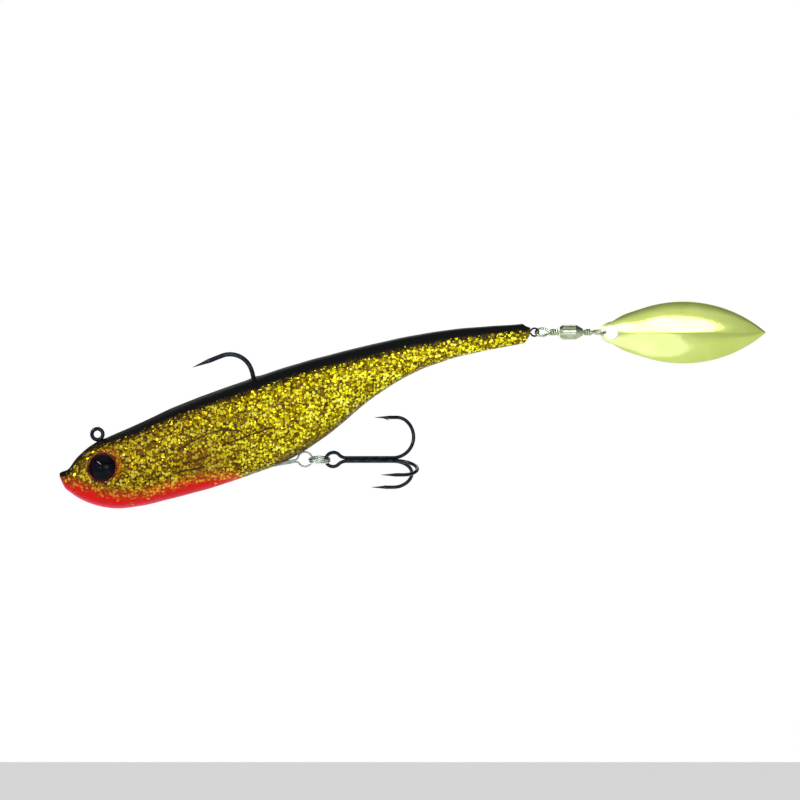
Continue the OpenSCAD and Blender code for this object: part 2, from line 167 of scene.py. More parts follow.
class Shader:
    """A material's node tree, built with one call a node."""

    def __init__(self, name):
        self.material = bpy.data.materials.new(name)
        self.material.use_nodes = True
        self.tree = self.material.node_tree
        self.tree.nodes.clear()

    def node(self, kind, inputs=None, **settings):
        made = self.tree.nodes.new("ShaderNode" + kind)
        for key, value in settings.items():
            setattr(made, key, value)
        for key, value in (inputs or {}).items():
            if isinstance(value, bpy.types.NodeSocket):
                self.tree.links.new(value, made.inputs[key])
            else:
                made.inputs[key].default_value = value
        return made

    def math(self, operation, *values):
        return self.node("Math", dict(enumerate(values)), operation=operation).outputs[0]

    def vector(self, operation, *values):
        made = self.node("VectorMath", dict(enumerate(values)), operation=operation)
        return made.outputs["Value" if operation in ("LENGTH", "DISTANCE") else "Vector"]

    def scaled(self, vector, scale):
        return self.node("VectorMath", {0: vector, "Scale": scale}, operation="SCALE").outputs[0]

    def mix(self, share, a, b):
        made = self.node("Mix", data_type="RGBA")
        for socket, value in ((made.inputs[0], share), (made.inputs[6], a), (made.inputs[7], b)):
            if isinstance(value, bpy.types.NodeSocket):
                self.tree.links.new(value, socket)
            else:
                socket.default_value = value
        return made.outputs[2]

    def step(self, value, low, high, to_low=0.0, to_high=1.0):
        """Goes smoothly from to_low at low to to_high at high."""
        return self.node(
            "MapRange",
            {"Value": value, "From Min": low, "From Max": high, "To Min": to_low, "To Max": to_high},
            interpolation_type="SMOOTHSTEP",
        ).outputs[0]

    def noise(self, where, scale, detail=2.0):
        return self.node("TexNoise", {"Vector": where, "Scale": scale, "Detail": detail}).outputs["Fac"]

    def cells(self, where, scale):
        return self.node("TexVoronoi", {"Vector": where, "Scale": scale}, feature="F1").outputs

    def draws(self, cells):
        """Three random numbers for each cell."""
        return self.node("SeparateColor", {0: cells["Color"]}).outputs

    def ramp(self, value, stops):
        made = self.node("ValToRGB", {"Fac": value})
        while len(made.color_ramp.elements) < len(stops):
            made.color_ramp.elements.new(0.5)
        for element, (position, colour) in zip(made.color_ramp.elements, stops):
            element.position, element.color = position, colour
        return made.outputs["Color"]

    def attribute(self, name):
        return self.node("Attribute", attribute_name=name).outputs["Vector"]

    def place(self):
        """The place on a piece at rest, in millimetres."""
        return self.scaled(self.node("TexCoord").outputs["Object"], 1 / MM)

    def bump(self, height, strength, distance):
        inputs = {"Height": height, "Strength": strength, "Distance": distance * MM}
        return self.node("Bump", inputs).outputs[0]

    def finish(self, **inputs):
        named = {key.replace("_", " "): value for key, value in inputs.items()}
        surface = self.node("BsdfPrincipled", named).outputs[0]
        self.node("OutputMaterial", {"Surface": surface})
        return self.material


def srgb(red, green, blue):
    """A linear colour, fully opaque, from 0 to 255 values."""
    linear = [((c / 255 + 0.055) / 1.055) ** 2.4 if c > 10 else c / 255 / 12.92 for c in (red, green, blue)]
    return (*linear, 1.0)


# ---- Materials ----

# The eye's place, how far out its foil's seat is, and how far it is turned forward and up, in degrees
EYE_X, EYE_Z, EYE_SEAT, EYE_TOE, EYE_LIFT = 2.0, -10.5, 7.0, 14.0, 8.0
LENS_R, FOIL_R = 4.1, 4.45

# The flakes lie in two layers. scale is cells to a millimetre, share is how many of the cells hold a
# flake, and edge is how far from its middle, in cells, a flake has faded out and is still whole
TOP_FLAKES = dict(scale=1.05, share=0.8, edge=(0.6, 0.48))
DEEP_FLAKES = dict(scale=1.7, share=0.85, edge=(0.62, 0.46))
TOP_TONES = [
    (0.0, srgb(66, 38, 0)), (0.25, srgb(108, 80, 0)), (0.5, srgb(188, 168, 8)),
    (0.75, srgb(240, 226, 40)), (1.0, srgb(248, 243, 116)),
]
DEEP_TONES = [
    (0.0, srgb(58, 34, 0)), (0.35, srgb(122, 100, 2)), (0.65, srgb(196, 178, 12)), (1.0, srgb(242, 228, 36)),
]
FLAKE_METAL, FLAKE_TILT = 0.6, 0.85
# The brown patch low behind the gills is flattened: heights are stretched before the distance to its
# middle is taken, and the middle is given in those stretched heights
PATCH_AT, PATCH_STRETCH = (33, 0, -14.5), (1, 0, 1.6)
HEAD_TINT, TAIL_TINT = (0.56, 0.47, 0.37, 1), (1.36, 1.54, 1.2, 1)


def glitter_plastic():
    """Soft plastic packed with gold flakes, sprayed black on the back and red under the head.

    zone_at holds the depth below the black spray, the height above the red belly and the painted shade of the
    moulded lines.
    The other attribute holds a painted pink highlight along the lower edge of the belly and painted brown
    shade along the rear belly.
    """
    s = Shader("glitter_plastic")
    at = s.attribute("rest_at")
    below_black, above_belly, line = s.node("SeparateXYZ", {0: s.attribute("zone_at")}).outputs
    pink_rim_highlight, brown_belly_shade = s.node("SeparateXYZ", {0: s.attribute("rim_highlight_and_shade_at")}).outputs[:2]
    wander = s.noise(at, 0.35, 3.0)
    # Flakes are fewer and darker where the spray reaches them
    spray = s.step(s.math("ADD", below_black, s.math("MULTIPLY", wander, 1.6)), 0.2, 4.1)

    def layer(scale, share, edge):
        """A layer's cells, three random numbers for each of them, and where its flakes are."""
        cells = s.cells(at, scale)
        draws = s.draws(cells)
        held = s.math("LESS_THAN", draws[1], s.math("MULTIPLY", spray, share))
        return cells, draws, s.math("MULTIPLY", s.step(cells["Distance"], *edge), held)

    top, top_draws, is_top = layer(**TOP_FLAKES)
    _, deep_draws, is_deep = layer(**DEEP_FLAKES)
    flake, deep_flake = s.ramp(top_draws[0], TOP_TONES), s.ramp(deep_draws[0], DEEP_TONES)
    gap = s.mix(s.step(s.noise(at, 1.1, 2.0), 0.38, 0.6), srgb(48, 26, 0), srgb(122, 96, 2))

    # Red from the chin back, over an orange fringe where flakes show through
    fade = s.math("ADD", above_belly, s.math("MULTIPLY", s.math("SUBTRACT", wander, 0.5), 3.0))
    red = s.math("MULTIPLY", s.step(fade, 3.6, 2.4), spray)
    orange = s.step(fade, 7.0, 3.4)
    # The red plastic, with a painted pink highlight along the lower edge of the belly
    red_plastic = s.mix(pink_rim_highlight, s.mix(wander, srgb(206, 4, 2), srgb(180, 2, 0)), srgb(226, 44, 96))
    base = s.mix(spray, srgb(4, 5, 7), s.mix(orange, gap, srgb(176, 44, 4)))
    red_flake = s.mix(top_draws[0], srgb(224, 76, 4), srgb(255, 190, 70))
    colour = s.mix(is_deep, base, s.mix(orange, deep_flake, srgb(206, 66, 8)))
    colour = s.mix(is_top, colour, s.mix(orange, flake, red_flake))

    # Redder low behind the gills, orange round the eye, and painted brown shade along the rear belly
    patch = s.step(s.vector("DISTANCE", s.vector("MULTIPLY", at, PATCH_STRETCH), PATCH_AT), 13.0, 3.0)
    colour = s.mix(s.math("MULTIPLY", patch, 0.45), colour, srgb(112, 52, 6))
    from_eye = s.vector("DISTANCE", s.vector("MULTIPLY", at, (1, 0, 1)), (EYE_X + 1.2, 0, EYE_Z + 1.0))
    colour = s.mix(s.math("MULTIPLY", s.step(from_eye, 6.0, 4.2), 0.3), colour, srgb(222, 92, 4))
    colour = s.mix(s.math("MULTIPLY", brown_belly_shade, 0.78), colour, srgb(58, 31, 0))
    # The gold is browner at the head, and greener and brighter towards the tail
    along = s.node("SeparateXYZ", {0: at}).outputs[0]
    colour = s.vector("MULTIPLY", colour, s.mix(s.step(along, -10, 105), HEAD_TINT, TAIL_TINT))
    # A few flakes lie over the red, and the moulded lines are plain, darkened with painted shade
    covered = s.math("MULTIPLY", red, s.step(top_draws[2], 0.99, 0.88))
    colour = s.mix(covered, colour, red_plastic)
    groove_shade = s.step(line, 0.4, 0.82)
    colour = s.mix(groove_shade, colour, srgb(56, 35, 2))

    hidden = s.math("MAXIMUM", covered, groove_shade)
    metal = s.math("MULTIPLY", s.math("MAXIMUM", is_top, is_deep), s.math("SUBTRACT", 1.0, hidden))
    tilt = s.vector("SUBTRACT", top["Color"], (0.5, 0.5, 0.5))
    lean = s.scaled(tilt, s.math("MULTIPLY", metal, FLAKE_TILT))
    return s.finish(
        Base_Color=colour,
        Metallic=s.math("MULTIPLY", metal, FLAKE_METAL),
        Roughness=s.step(metal, 0.0, 1.0, 0.42, 0.3),
        Normal=s.vector("NORMALIZE", s.vector("ADD", s.node("NewGeometry").outputs["Normal"], lean)),
        Specular_IOR_Level=0.06,
        Coat_Weight=0.04,
        Coat_Roughness=0.12,
    )


def plated(name, colour, dark, roughness, grain, scratch=0.04, metallic=1.0):
    """Metal or a coating with clouded tone and fine grain, scratch millimetres deep."""
    s = Shader(name)
    at = s.place()
    cloud = s.noise(at, 0.7, 3.0)
    fine = s.noise(at, 9.0, 4.0)
    tone = s.mix(s.step(cloud, 0.3, 0.7), dark, colour)
    return s.finish(
        Base_Color=tone,
        Metallic=metallic,
        Roughness=s.step(fine, 0.3, 0.7, roughness - grain, roughness + grain),
        Normal=s.bump(fine, 0.25, scratch),
    )


black_nickel = plated("black_nickel", srgb(46, 52, 58), srgb(24, 28, 34), 0.26, 0.07)
stainless = plated("stainless_wire", srgb(150, 162, 152), srgb(108, 122, 110), 0.16, 0.03, 0.001)
ring_steel = plated("ring_steel", srgb(214, 223, 214), srgb(164, 176, 164), 0.14, 0.03, 0.001)
nickel = plated("swivel_nickel", srgb(186, 195, 164), srgb(148, 161, 128), 0.16, 0.03, 0.001)
lead = plated("lead", srgb(112, 114, 118), srgb(84, 86, 92), 0.55, 0.1, 0.1)
black_wire = plated("black_wire", srgb(40, 42, 44), srgb(20, 21, 23), 0.38, 0.08)
coated_cable = plated("coated_cable", srgb(30, 30, 32), srgb(16, 16, 18), 0.5, 0.08, 0.03, 0.0)


def gold_plate():
    """Greenish gold plate, slightly clouded and nearly mirror smooth."""
    s = Shader("gold_plate")
    at = s.place()
    cloud = s.noise(at, 0.12, 3.0)
    fine = s.noise(at, 6.0, 4.0)
    tone = s.mix(s.step(cloud, 0.3, 0.7), srgb(188, 204, 106), srgb(198, 212, 120))
    return s.finish(
        Base_Color=tone,
        Metallic=1.0,
        Roughness=s.step(fine, 0.3, 0.7, 0.07, 0.12),
        Normal=s.bump(cloud, 0.12, 0.3),
    )


def side_name(side):
    return "left" if side < 0 else "right"


def eye_centre(side):
    return Vector((EYE_X, side * EYE_SEAT, EYE_Z))


def eye_axis(side):
    """Which way an eye looks: out to its side, and a little forward and up."""
    toe, lift = math.radians(EYE_TOE), math.radians(EYE_LIFT)
    level = math.cos(lift)
    return Vector((-math.sin(toe) * level, side * math.cos(toe) * level, math.sin(lift)))


def eye_distance(s, side):
    """How far a point is from the eye's axis, in millimetres."""
    rel = s.vector("SUBTRACT", s.place(), tuple(eye_centre(side)))
    return s.vector("LENGTH", s.vector("CROSS_PRODUCT", rel, tuple(eye_axis(side))))


def eye_lens(side):
    """Glossy black, with a dark red rim where the foil shows through."""
    s = Shader("eye_lens_" + side_name(side))
    rim = s.step(eye_distance(s, side), LENS_R - 0.5, LENS_R - 0.05)
    haze = s.noise(s.place(), 1.5, 2.0)
    return s.finish(
        Base_Color=s.mix(rim, srgb(2, 3, 9), srgb(44, 3, 12)),
        Roughness=s.step(haze, 0.3, 0.7, 0.04, 0.09),
        Coat_Weight=0.05,
        Coat_Roughness=0.03,
        Specular_IOR_Level=0.06,
    )


def eye_foil(side):
    """Dark red foil pressed with small facets."""
    s = Shader("eye_foil_" + side_name(side))
    facets = s.cells(s.place(), 2.4)
    tone = s.ramp(s.draws(facets)[0], [(0, srgb(40, 4, 8)), (1, srgb(120, 16, 22))])
    return s.finish(Base_Color=tone, Metallic=0.6, Roughness=s.step(facets["Distance"], 0.0, 0.6, 0.2, 0.4))


def set_material(node, material):
    slots = nodes[node].data.materials
    for k in range(len(slots)):
        slots[k] = material


def eye_lip_shadow_plastic():
    """The lip of an eye pocket: dark maroon painted shadow round the lens, with gold flakes beginning
    outside.
    """
    s = Shader("eye_lip_shadow_plastic")
    speck = s.cells(s.place(), 2.0)
    pick = s.draws(speck)[0]
    tone = s.ramp(pick, [
        (0.0, srgb(34, 4, 4)), (0.6, srgb(62, 14, 4)), (0.85, srgb(104, 58, 8)), (1.0, srgb(170, 120, 16)),
    ])
    return s.finish(
        Base_Color=tone,
        Metallic=s.step(pick, 0.75, 0.9, 0.0, 0.5),
        Roughness=s.step(speck["Distance"], 0.0, 0.6, 0.3, 0.5),
        Specular_IOR_Level=0.2,
    )


body_plastic = glitter_plastic()
# The eye lips carry a dark maroon painted shadow round each lens
lip_shadow_plastic = eye_lip_shadow_plastic()
for node_name in ("jig_hook", "treble_double_hook", "treble_single_hook"):
    set_material(node_name, black_nickel)
for node_name in ("front_crimp_sleeve", "rear_crimp_sleeve"):
    set_material(node_name, stainless)
set_material("head_weight", lead)
set_material("tail_eye", black_wire)
set_material("swivel_barrel", nickel)
for eye_side in (-1, 1):
    set_material("eye_lens_" + side_name(eye_side), eye_lens(eye_side))
    set_material("eye_foil_" + side_name(eye_side), eye_foil(eye_side))

# ---- Soft body ----

# [x, height of the back, height of the belly, half width], as in the CAD
STATIONS = np.array([
    [-11.7, -12.0, -13.4, 0.9], [-10.2, -10.9, -16.6, 3.0], [-8.5, -9.3, -18.1, 4.6],
    [-2.3, -3.7, -21.5, 7.6], [4, -0.6, -23.0, 9.2], [13.3, 3.5, -22.4, 10.4],
    [22.6, 7.9, -20.2, 10.6], [35, 12.8, -16.9, 10.0], [47.6, 17.2, -12.7, 9.1],
    [60, 21.3, -7.8, 8.0], [72.5, 24.8, 0.3, 6.9], [85, 27.9, 10.7, 5.8],
    [97.4, 30.6, 18.5, 4.7], [110, 32.6, 23.4, 3.8], [122.3, 33.7, 26.3, 3.0],
    [134, 34.4, 28.4, 2.4],
])


def station_curve(column):
    """One column of the stations on the same smooth curve through them as the CAD's."""
    x, y = STATIONS[:, 0], STATIONS[:, column]
    span, secant = np.diff(x), np.diff(y) / np.diff(x)
    slope = np.empty(len(x))
    slope[0], slope[-1] = secant[0], secant[-1]
    slope[1:-1] = (span[1:] * secant[:-1] + span[:-1] * secant[1:]) / (span[1:] + span[:-1])

    def value(at):
        at = np.clip(at, x[0], x[-1])
        i = np.clip(np.searchsorted(x, at, side="right") - 1, 0, len(x) - 2)
        t = (at - x[i]) / span[i]
        return (
            (2 * t**3 - 3 * t**2 + 1) * y[i]
            + (t**3 - 2 * t**2 + t) * span[i] * slope[i]
            + (3 * t**2 - 2 * t**3) * y[i + 1]
            + (t**3 - t**2) * span[i] * slope[i + 1]
        )

    return value


back_at, belly_at, half_width_at = (station_curve(c) for c in (1, 2, 3))


def distance_to_line(points, line):
    """How far (x, z) points are from a line through several points."""
    line = np.asarray(line, float)
    best = np.full(len(points), 1e9)
    for a, b in zip(line[:-1], line[1:]):
        d = b - a
        t = np.clip(((points - a) @ d) / (d @ d), 0, 1)
        best = np.minimum(best, np.linalg.norm(points - a - t[:, None] * d, axis=1))
    return best


def smoothed(line, per_span=8):
    """A Catmull-Rom curve through the points."""
    p = np.asarray(line, float)
    p = np.vstack([2 * p[0] - p[1], p, 2 * p[-1] - p[-2]])
    t = np.linspace(0, 1, per_span, endpoint=False)[:, None]
    parts = [
        0.5 * (2 * b + (c - a) * t + (2 * a - 5 * b + 4 * c - d) * t**2 + (3 * b - a - 3 * c + d) * t**3)
        for a, b, c, d in zip(p[:-3], p[1:-2], p[2:-1], p[3:])
    ]
    return np.vstack(parts + [p[-2:-1]])


# (x, z) lines, moulded in the same places on both sides
FIN_LINES = [
    smoothed([(26, -4.6), (30.1, -2.1), (34.5, 0.1), (38.9, 1.25), (43.3, 1.2), (45.2, 0.95)]),
    smoothed([(39.5, -3.3), (43.3, -2.0), (48.5, 0.1), (53.7, 1.9), (55, 2.3)]),
    smoothed([(25.5, -11.8), (28, -11.1), (30.5, -10.9), (33, -10.1)]),
    smoothed([(27, -9.0), (31, -8.2), (35, -6.6)]),
]
MOUTH_LINE = smoothed([(-11.9, -12.9), (-10.6, -13.7), (-8.6, -15.0), (-6.2, -16.3), (-3.6, -17.1)])
# The tail end as seen from the side: how far back it reaches at each height
TAIL_END_Z = [28.2, 29.3, 30.5, 31.3, 33.2, 33.5, 33.9, 34.5]
TAIL_END_X = [132.9, 133.7, 134.5, 134.9, 134.9, 133.6, 133.2, 132.4]
TAIL_SHAPED_FROM = 130
FIN_WIDTH, FIN_DEPTH, FIN_SHADE_WIDTH = 0.3, 0.3, 0.42
MOUTH_WIDTH, MOUTH_DEPTH = 0.35, 0.32
# Where the hook and the line eye's leg come out, (x, z), and how high and how wide the body swells there
WIRE_EXITS = (((48.9, 17.6), 0.28, 1.5), ((0.9, -2.2), 0.22, 1.6))
SNOUT_DIP, SNOUT_DIP_AT, SNOUT_DIP_WIDTH = 1.0, -8.9, 1.5
CASTING_WAVE = 0.03
POCKET_MARGIN, POCKET_DEPTH = 0.12, 0.02


def snout_dip(x):
    """How much lower the top of the snout is than the CAD's, behind its upturned tip."""
    return SNOUT_DIP * np.exp(-(((x - SNOUT_DIP_AT) / SNOUT_DIP_WIDTH) ** 2))


def fin_lines(from_side, width):
    """1 on the moulded lines of the flanks, falling to 0 beside them, for (x, z) points."""
    nearest = np.min([distance_to_line(from_side, line) for line in FIN_LINES], axis=0)
    return np.exp(-((nearest / width) ** 2))


def soft_body_skin():
    """Both soft bodies as one skin: rings of points from the snout to the tail, closed at both ends."""
    x = np.concatenate([
        STATIONS[0, 0] + np.array([0.0, 0.04, 0.12, 0.25, 0.4, 0.6]),
        np.arange(-10.85, 8, 0.24), np.arange(8, 62, 0.38),
        np.arange(62, 128, 0.6), np.linspace(128, 134, 24),
    ])
    sides = 176
    a = 2 * math.pi * np.arange(sides) / sides
    back, belly, half_w = back_at(x), belly_at(x), half_width_at(x)
    middle, half = (back + belly) / 2, (back - belly) / 2
    flat = np.stack([
        np.repeat(x, sides).reshape(-1, sides),
        half_w[:, None] * np.cos(a),
        middle[:, None] + half[:, None] * np.sin(a),
    ], axis=-1).reshape(-1, 3)
    out = unit_rows(np.stack([
        np.zeros((len(x), sides)), np.cos(a) / half_w[:, None], np.sin(a) / half[:, None]
    ], axis=-1).reshape(-1, 3))
    flat[:, 2] -= snout_dip(flat[:, 0]) * np.clip(np.tile(np.sin(a), len(x)), 0, 1)
    from_side = flat[:, [0, 2]]

    # Moulded lines on the flanks, and the mouth, which fades out behind the chin
    fins = np.where(np.abs(out[:, 1]) > 0.25, fin_lines(from_side, FIN_WIDTH), 0)
    mouth = np.exp(-((distance_to_line(from_side, MOUTH_LINE) / MOUTH_WIDTH) ** 2))
    mouth = mouth * np.clip((-2.5 - flat[:, 0]) / 3, 0, 1)
    flat -= out * (FIN_DEPTH * fins + MOUTH_DEPTH * mouth)[:, None]
    for (cx, cz), lift, wide in WIRE_EXITS:
        near = np.linalg.norm(flat - np.array([cx, 0, cz]), axis=1)
        flat += out * (lift * np.exp(-((near / wide) ** 2)))[:, None]
    # Slight unevenness of a hand-poured casting
    wave = np.sin(flat[:, 0] * 0.42 + 0.6 * flat[:, 2]) * np.sin(flat[:, 0] * 0.23 - 0.5 * flat[:, 2] + 1.1)
    flat += out * (CASTING_WAVE * wave)[:, None]

    # Eye pockets, pressed down to just under the seat of each foil
    for side in (-1, 1):
        centre, axis = np.array(eye_centre(side)), np.array(eye_axis(side))
        rel = flat - centre
        height = rel @ axis
        radius = np.linalg.norm(rel - height[:, None] * axis, axis=1)
        inside = (radius < FOIL_R + POCKET_MARGIN) & (flat[:, 1] * side > 1) & (height > -POCKET_DEPTH)
        flat[inside] -= (height[inside] + POCKET_DEPTH)[:, None] * axis

    # Stretch the last of the tail to the end's outline
    end_x = np.interp(flat[:, 2], TAIL_END_Z, TAIL_END_X)
    behind = flat[:, 0] > TAIL_SHAPED_FROM
    share = (flat[behind, 0] - TAIL_SHAPED_FROM) / (STATIONS[-1, 0] - TAIL_SHAPED_FROM)
    flat[behind, 0] = TAIL_SHAPED_FROM + share * (end_x[behind] - TAIL_SHAPED_FROM)

    rows = len(x)
    faces = grid_faces(rows, sides)
    # Close both ends with shrinking rings. The snout's are pushed out, and the tail's follow its outline
    steps, snout_out = 5, 0.12
    for end in (0, rows - 1):
        ring = end * sides + np.arange(sides)
        centre = flat[ring].mean(axis=0)
        for k in range(1, steps + 1):
            share = 1 - k / (steps + 0.4)
            fresh = centre + (flat[ring] - centre) * share
            if end:
                fresh[:, 0] = np.interp(fresh[:, 2], TAIL_END_Z, TAIL_END_X)
            else:
                fresh[:, 0] -= snout_out * (1 - share**2)
            start = len(flat)
            flat = np.vstack([flat, fresh])
            before = ring if k == 1 else np.arange(start - sides, start)
            for q in range(sides):
                after = (q + 1) % sides
                quad = (before[q], before[after], start + after, start + q)
                faces.append(quad if end else quad[::-1])
        last = tuple(len(flat) - sides + np.arange(sides))
        faces.append(last if end else last[::-1])
    skin = add_mesh("soft_body_skin", flat, [tuple(int(v) for v in f) for f in faces], body_plastic)
    # The rings run the other way round from the outside, so turn the faces outward
    skin.data.flip_normals()
    dress(skin, flat)
    return skin


def dress(piece, points):
    """Stores what the body's material reads: where each point is, the paint zones, and the painted highlight
    and shade.
    """
    points = np.asarray(points, float)
    x, z = points[:, 0], points[:, 2]
    # How far down the back the black reaches
    black_to = np.interp(
        x,
        [-12, -10.8, -9.6, -8, -4, 0, 6, 14, 27, 50, 95, 128, 135],
        [0.9, 1.6, 1.0, 0.9, 0.8, 1.0, 1.7, 2.5, 2.9, 3.4, 3.2, 2.1, 1.7],
    )
    below_black = back_at(x) - snout_dip(x) - z - black_to
    over_belly = z - belly_at(x)
    # Painted pink highlight along the lower edge of the belly, strongest under the head
    pink_rim_highlight = np.clip(1.35 - over_belly / 0.8, 0, 1) * np.interp(x, [-11, -8, 8, 24], [0.4, 1, 0.9, 0.2])
    # The red fades out behind the head
    above_red = over_belly + np.interp(
        x, [-12, -9, -6, 2, 8, 14, 30, 37, 43, 48, 60], [1.0, 1.2, -0.4, -0.4, -0.1, 0.4, 0, 0.9, 3, 8, 20]
    )
    # Painted brown shade along the rear belly: how high it reaches, and how strong it is
    belly_shade_reach = np.interp(x, [48, 58, 72, 88], [1.3, 3.3, 3.0, 1.3])
    brown_belly_shade = np.clip((belly_shade_reach - over_belly) / (belly_shade_reach - 0.3), 0, 1)
    brown_belly_shade = brown_belly_shade * np.interp(x, [44, 54, 60, 72, 86, 100, 118], [0, 0.9, 1.28, 1.2, 0.75, 0.75, 0.25])
    # How much painted shade lies in the moulded lines
    line = fin_lines(points[:, [0, 2]], FIN_SHADE_WIDTH)
    store(piece, "rest_at", points)
    store(piece, "rim_highlight_and_shade_at", np.stack([pink_rim_highlight, brown_belly_shade, np.zeros_like(x)], axis=-1))
    store(piece, "zone_at", np.stack([below_black, above_red, line], axis=-1))


# The lip's radius, how far outside the foil it runs, and how deep it is sunk in the flank
LIP_R, LIP_OUT, LIP_SUNK = 0.34, 0.22, 0.16


def eye_lip(side):
    """The rounded lip of the pocket, which the foil sits in."""
    centre, axis = np.array(eye_centre(side)), np.array(eye_axis(side))
    across = unit(np.cross(axis, (0, 0, 1)))
    up = np.cross(across, axis)
    path, steps = [], 96
    for k in range(steps + 1):
        a = 2 * math.pi * k / steps
        p = centre + (FOIL_R + LIP_OUT) * (math.cos(a) * across + math.sin(a) * up)
        # Out along the axis to the flank, closer each time
        for _ in range(8):
            back, belly = back_at(p[0]), belly_at(p[0])
            share = (p[2] - (back + belly) / 2) / ((back - belly) / 2)
            surface = half_width_at(p[0]) * math.sqrt(max(0.0, 1 - share**2))
            p = p + axis * (surface - abs(p[1])) / abs(axis[1])
        path.append(p - axis * LIP_SUNK)
    name = "eye_lip_" + side_name(side)
    return tube(name, path, LIP_R, lip_shadow_plastic, sides=16, up=(0, 0, 1), round_ends=False)


skin = soft_body_skin()
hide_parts("soft_body_front", "soft_body_tail")
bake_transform(skin)
for eye_side in (-1, 1):
    lip = eye_lip(eye_side)
    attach(lip, "lure_body")

# ---- Tail cable: a twisted cable in a tight coating ----

HOOK_SLOPE = math.radians(21.5)
CABLE_START, CABLE_LEVEL_Z, CABLE_BEND_R, CABLE_R = (36.28, 0, 1.24), 30.8, 62.0, 0.34
CABLE_SIDES, STRANDS, STRAND_SWELL, STRAND_TWIST = 24, 6, 0.018, 0.9


def tail_cable():
    """Up along the hook's slope, then through one bend to a level run into the tail."""
    start, slope = np.array(CABLE_START), HOOK_SLOPE
    end_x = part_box("tail_cable")[1][0] / MM
    uphill = np.array([math.cos(slope), 0, math.sin(slope)])
    rise = (CABLE_LEVEL_Z - start[2] - CABLE_BEND_R * (1 - math.cos(slope))) / math.sin(slope)
    straight = [start + t * rise * uphill for t in np.linspace(0, 1, 120)]
    bend = [
        straight[-1] + CABLE_BEND_R * np.array([
            math.sin(slope) - math.sin(slope - t), 0, math.cos(slope - t) - math.cos(slope)
        ])
        for t in np.linspace(0, slope, 60)[1:]
    ]
    level = [np.array([v, 0, CABLE_LEVEL_Z]) for v in np.linspace(bend[-1][0] + 0.3, end_x, 40)]
    path = np.array(straight + bend + level)
    run = np.concatenate([[0], np.cumsum(np.linalg.norm(np.diff(path, axis=0), axis=1))])
    cable = tube("tail_cable_coated", path, CABLE_R, coated_cable, sides=CABLE_SIDES, round_ends=False)
    # The outer strands show through the coating as a slow twist
    co = np.array([v.co for v in cable.data.vertices]) / MM
    ring, place = np.divmod(np.arange(len(co)), CABLE_SIDES)
    a = 2 * math.pi * place / CABLE_SIDES
    swell = STRAND_SWELL * np.cos(STRANDS * (a + run[ring] * STRAND_TWIST))
    co = path[ring] + (co - path[ring]) * (1 + swell / CABLE_R)[:, None]
    cable.data.vertices.foreach_set("co", (co * MM).astype(np.float32).ravel())
    cable.data.update()
    return cable


cable = tail_cable()
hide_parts("tail_cable")
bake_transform(cable)

# ---- Belly wire: one bent wire, its two legs side by side into the lead ----

# The loop's middle, (x, z), and its radius; the bend into it; half the distance between the two legs
BELLY_LOOP, BELLY_LOOP_R, BELLY_NECK_R, BELLY_LEG_GAP = (64.7, -7.8), 2.25, 1.2, 0.32
# The slopes of the legs outside and inside the body, and the bend between them
BELLY_EXIT, BELLY_INNER, BELLY_BEND_R = math.radians(10), math.radians(-12), 12.0
BELLY_OUTER_RUN, BELLY_INNER_RUN, BELLY_WIRE_R = 8.1, 25.5, 0.28


def swing(heading, to):
    """From start to end, (x, z), of a bend of radius 1 that turns left from one heading to another."""
    return np.array([math.sin(to) - math.sin(heading), math.cos(heading) - math.cos(to)])


def bent_path(start, heading, moves):
    """A wire's middle line, bent in the lure's middle plane: each move is a run, or a radius and a turn."""
    at, path = np.array(start, float), [np.array(start, float)]
    for length, turn in moves:
        count = max(6, int(abs(length * turn) / 0.1)) if turn else 30
        for k in range(1, count + 1):
            if turn:
                path.append(at + math.copysign(length, turn) * swing(heading, heading + turn * k / count))
            else:
                path.append(at + length * k / count * np.array([math.cos(heading), math.sin(heading)]))
        at, heading = path[-1], heading + turn
    return np.array([[x, 0, z] for x, z in path])


def belly_wire():
    out, inward = (np.array([math.cos(a), math.sin(a)]) for a in (BELLY_EXIT, BELLY_INNER))
    neck = math.acos((BELLY_LEG_GAP + BELLY_NECK_R) / (BELLY_LOOP_R + BELLY_NECK_R))
    bend = BELLY_EXIT - BELLY_INNER
    legs_end = np.array(BELLY_LOOP) - (BELLY_LOOP_R + BELLY_NECK_R) * math.sin(neck) * out
    leg_bend = BELLY_BEND_R * swing(BELLY_INNER, BELLY_EXIT)
    start = legs_end - BELLY_OUTER_RUN * out - leg_bend - BELLY_INNER_RUN * inward
    start = start + BELLY_LEG_GAP * np.array([-inward[1], inward[0]])
    path = bent_path(start, BELLY_INNER, [
        (BELLY_INNER_RUN, 0), (BELLY_BEND_R - BELLY_LEG_GAP, bend), (BELLY_OUTER_RUN, 0),
        (BELLY_NECK_R, neck), (BELLY_LOOP_R, -math.pi - 2 * neck), (BELLY_NECK_R, neck),
        (BELLY_OUTER_RUN, 0), (BELLY_BEND_R + BELLY_LEG_GAP, -bend), (BELLY_INNER_RUN, 0),
    ])
    return tube("belly_wire_bent", path, BELLY_WIRE_R, stainless, sides=20)


belly_bent = belly_wire()
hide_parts("belly_wire")
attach(belly_bent, "lure_body")

# ---- Split ring: two turns of one wire ----

RING_AT, RING_R, RING_TILT, RING_WIRE_R = np.array([69.15, 0, -8.0]), 3.15, math.radians(12), 0.33
# Degrees: where the wire starts, how far it goes round, and how much of that crosses between the turns
RING_FROM, RING_SWEEP, RING_CROSSING = 200, 700, 52
RING_TAPER, RING_TAPER_STEPS = 0.72, 6


